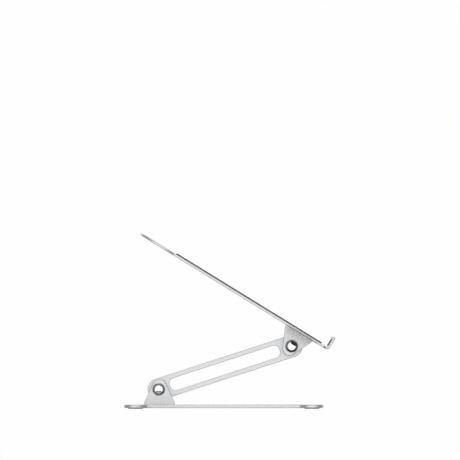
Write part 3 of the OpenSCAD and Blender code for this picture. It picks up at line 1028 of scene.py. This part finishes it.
class STAND_OT_screws(bpy.types.Operator):
    """Countersunk screws of the brackets"""

    bl_idname = "stand.screws"
    bl_label = "Screws"

    def execute(self, context):
        sizes = context.scene.stand_sizes
        head, shank = sizes.screw_head / 2, sizes.screw / 2
        socket, socket_depth = shank * 0.85, 0.9 * MM
        chamfer, head_edge = 0.4 * MM, 0.1 * MM
        low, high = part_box("base_bracket_screws_left")
        height = high.z - low.z
        profile = [
            (0, socket_depth, 0),
            (socket, socket_depth, 0),
            (socket, 0, 0),
            (head - head_edge, 0, 0),
            (head, head_edge, 0),
            (shank, head - shank, 0),
            (shank, height - chamfer, 0),
            (shank - chamfer, height, 0),
            (0, height, 0),
        ]
        across = Vector(((low.x + high.x) / 2 - LOWER_PIVOT.x, (low.y + high.y) / 2, 0))
        under_base = AT_LOWER @ Matrix.Translation((0, 0, low.z - LOWER_PIVOT.z))
        tray_top = PIVOT_RISE + sizes.tray_thickness
        over_tray = ALONG_TRAY @ Matrix.Translation((0, 0, tray_top)) @ TURNED_OVER
        for end, (body, pivot) in {"base": ("base", under_base), "tray": ("tray", over_tray)}.items():
            for side, mirrored in SIDES.items():
                bm = bmesh.new()
                for step in (-1, 1):
                    screw = bmesh.new()
                    turn_profile(screw, profile, steps=SMALL_STEPS)
                    place = Matrix.Translation(across + Vector((step * sizes.screw_reach, 0, 0))) @ STAND_UP
                    bmesh.ops.transform(screw, matrix=place, verts=screw.verts[:])
                    join(bm, screw)
                node = f"{end}_bracket_screws_{side}"
                place = mirrored @ pivot
                add_piece(f"{node}_finished", bm, place, [plated_steel], body, [node])
        return {"FINISHED"}


# ---- Studio ----


def add_camera(studio):
    """A camera square to the stand's right side, which sees no perspective."""
    low, high = CAD_BOX
    distance = 12 * (high - low).length
    camera = bpy.data.cameras.new("camera")
    camera.type = "ORTHO"
    camera.ortho_scale = studio.view_width
    placed = add_object("camera", camera)
    placed.location = ((low.x + high.x) / 2 + studio.view_aside, low.y - distance, studio.view_height)
    placed.rotation_euler = (math.pi / 2, 0, 0)
    bpy.context.scene.camera = placed


def add_floor(studio):
    """A pale table, which gloss doesn't see."""
    low, high = CAD_BOX
    half_size = 20 * (high - low).length
    material, tree, surface = new_material("painted_table")
    painted = {"Base Color": (*studio.floor, 1), "Roughness": 0.7}
    tree.links.new(add_node(tree, "ShaderNodeBsdfPrincipled", painted).outputs[0], surface)
    bm = bmesh.new()
    bmesh.ops.create_grid(bm, x_segments=1, y_segments=1, size=half_size)
    mesh = mesh_of("floor", bm)
    mesh.materials.append(material)
    floor = add_object("floor", mesh)
    floor.visible_glossy = False


def shade_card(name, span, middle, place, material):
    """A dark card beside the stand that only gloss can see: painted shade for the metal to reflect."""
    bm = bmesh.new()
    bmesh.ops.create_grid(bm, x_segments=1, y_segments=1, size=0.5)
    size = Matrix.Diagonal((*span, 1, 1))
    bmesh.ops.transform(bm, matrix=place @ Matrix.Translation(middle) @ size, verts=bm.verts[:])
    mesh = mesh_of(name, bm)
    mesh.materials.append(material)
    card = add_object(name, mesh)
    card.visible_camera = card.visible_diffuse = card.visible_transmission = card.visible_shadow = False


def add_cards(studio):
    """Dark cards for the caps to reflect: on the table beside the lower ones, and just below the tray's
    underside over the upper ones.
    The cards are painted shade: those on the table stand for the shadow on the table right beside the stand,
    and those under the tray for the shaded underside of a laptop on the tray. Their reflections darken the
    caps and the metal nearby."""
    painted_shade_finishes = []
    for light in (studio.card_light, studio.tray_card_light):
        material, tree, surface = new_material("painted_shade_card")
        # The cards glow dimly though they are no lamps: their dimness is painted shade for gloss to see
        glow = {"Color": (1, 1, 1, 1), "Strength": light}
        tree.links.new(add_node(tree, "ShaderNodeEmission", glow).outputs[0], surface)
        painted_shade_finishes.append(material)
    side_y = CAD_BOX[1].y
    over_table, below_tray = 0.5 * MM, 1 * MM
    table_span = (studio.card_length, studio.card_width)
    table_y = side_y + studio.card_gap + studio.card_width / 2
    on_table = (LOWER_PIVOT.x, table_y, over_table)
    tray_span = (studio.tray_card_length, studio.tray_card_width)
    tray_y = side_y + studio.tray_card_gap + studio.tray_card_width / 2
    under_tray = (studio.tray_card_place, tray_y, PIVOT_RISE - below_tray)
    for side, mirrored in SIDES.items():
        shade_card(f"card_table_{side}", table_span, on_table, mirrored, painted_shade_finishes[0])
        shade_card(f"card_tray_{side}", tray_span, under_tray, mirrored @ ALONG_TRAY, painted_shade_finishes[1])


def light_studio(studio):
    """Lights the scene from all round with an even white. Gloss alone sees a pattern: white in front and
    behind, darker overhead and at the sides, and darkest below."""
    world = bpy.data.worlds.new("studio")
    world.use_nodes = True
    tree = world.node_tree
    tree.nodes.clear()
    direction = add_node(tree, "ShaderNodeTexCoord").outputs["Generated"]
    parts = add_node(tree, "ShaderNodeSeparateXYZ", {0: direction})
    height = parts.outputs["Z"]
    facing = add_node(tree, "ShaderNodeMath", {0: parts.outputs["Y"]}, operation="ABSOLUTE").outputs[0]
    # A direction's height runs from -1, straight down, to 1, and facing from 0 at the sides to 1 in front
    sides = {"From Min": -0.7, "From Max": 0.0, "To Min": studio.under_light, "To Max": studio.side_light}
    low_side = add_node(tree, "ShaderNodeMapRange", {"Value": height, **sides}).outputs[0]
    top = {"From Min": 0.85, "From Max": 1.0, "To Min": 0.0, "To Max": studio.top_light}
    overhead = add_node(tree, "ShaderNodeMapRange", {"Value": height, **top}).outputs[0]
    around = add_node(tree, "ShaderNodeMath", {0: low_side, 1: overhead}, operation="MAXIMUM").outputs[0]
    broad = {"From Min": 0.56, "From Max": 0.7, "To Min": around, "To Max": studio.front_light}
    front = add_node(
        tree, "ShaderNodeMapRange", {"Value": facing, **broad}, interpolation_type="SMOOTHSTEP"
    ).outputs[0]
    gloss = add_node(tree, "ShaderNodeLightPath").outputs["Is Glossy Ray"]
    seen = {"Factor": gloss, "A": studio.backdrop, "B": front}
    strength = add_node(tree, "ShaderNodeMix", seen, data_type="FLOAT").outputs["Result"]
    white = {"Color": (1, 1, 1, 1), "Strength": strength}
    background = add_node(tree, "ShaderNodeBackground", white)
    output = add_node(tree, "ShaderNodeOutputWorld")
    tree.links.new(background.outputs[0], output.inputs["Surface"])
    bpy.context.scene.world = world


class STAND_OT_studio(bpy.types.Operator):
    """Camera, table and soft studio light"""

    bl_idname = "stand.studio"
    bl_label = "Studio"

    def execute(self, context):
        studio = context.scene.stand_studio
        add_camera(studio)
        add_floor(studio)
        add_cards(studio)
        light_studio(studio)
        context.scene.view_settings.view_transform = "Standard"
        return {"FINISHED"}


# ---- Panel and registration ----


OPERATORS = (
    STAND_OT_base_plate,
    STAND_OT_feet,
    STAND_OT_brackets,
    STAND_OT_arms,
    STAND_OT_tray,
    STAND_OT_pads,
    STAND_OT_pivots,
    STAND_OT_screws,
    STAND_OT_studio,
)
GROUPS = {"stand_sizes": StandSizes, "stand_finishes": StandFinishes, "stand_studio": StandStudio}


class STAND_PT_build(bpy.types.Panel):
    """The stand's pieces, sizes and finishes"""

    bl_label = "Laptop Stand"
    bl_space_type = "VIEW_3D"
    bl_region_type = "UI"
    bl_category = "Laptop Stand"

    def draw(self, context):
        for operator in OPERATORS:
            self.layout.operator(operator.bl_idname)
        for group in GROUPS:
            box = self.layout.box()
            values = getattr(context.scene, group)
            for name in values.bl_rna.properties.keys():
                if name not in {"rna_type", "name"}:
                    box.prop(values, name)


def register():
    """Adds the groups, operators and panel to Blender."""
    for group in GROUPS.values():
        bpy.utils.register_class(group)
    for name, group in GROUPS.items():
        setattr(bpy.types.Scene, name, PointerProperty(type=group))
    for operator in OPERATORS:
        bpy.utils.register_class(operator)
    bpy.utils.register_class(STAND_PT_build)


def unregister():
    """Takes them away again."""
    bpy.utils.unregister_class(STAND_PT_build)
    for operator in reversed(OPERATORS):
        bpy.utils.unregister_class(operator)
    for name, group in GROUPS.items():
        delattr(bpy.types.Scene, name)
        bpy.utils.unregister_class(group)


def main():
    register()
    for operator in OPERATORS:
        prefix, name = operator.bl_idname.split(".")
        getattr(getattr(bpy.ops, prefix), name)()


if __name__ == "__main__":
    main()
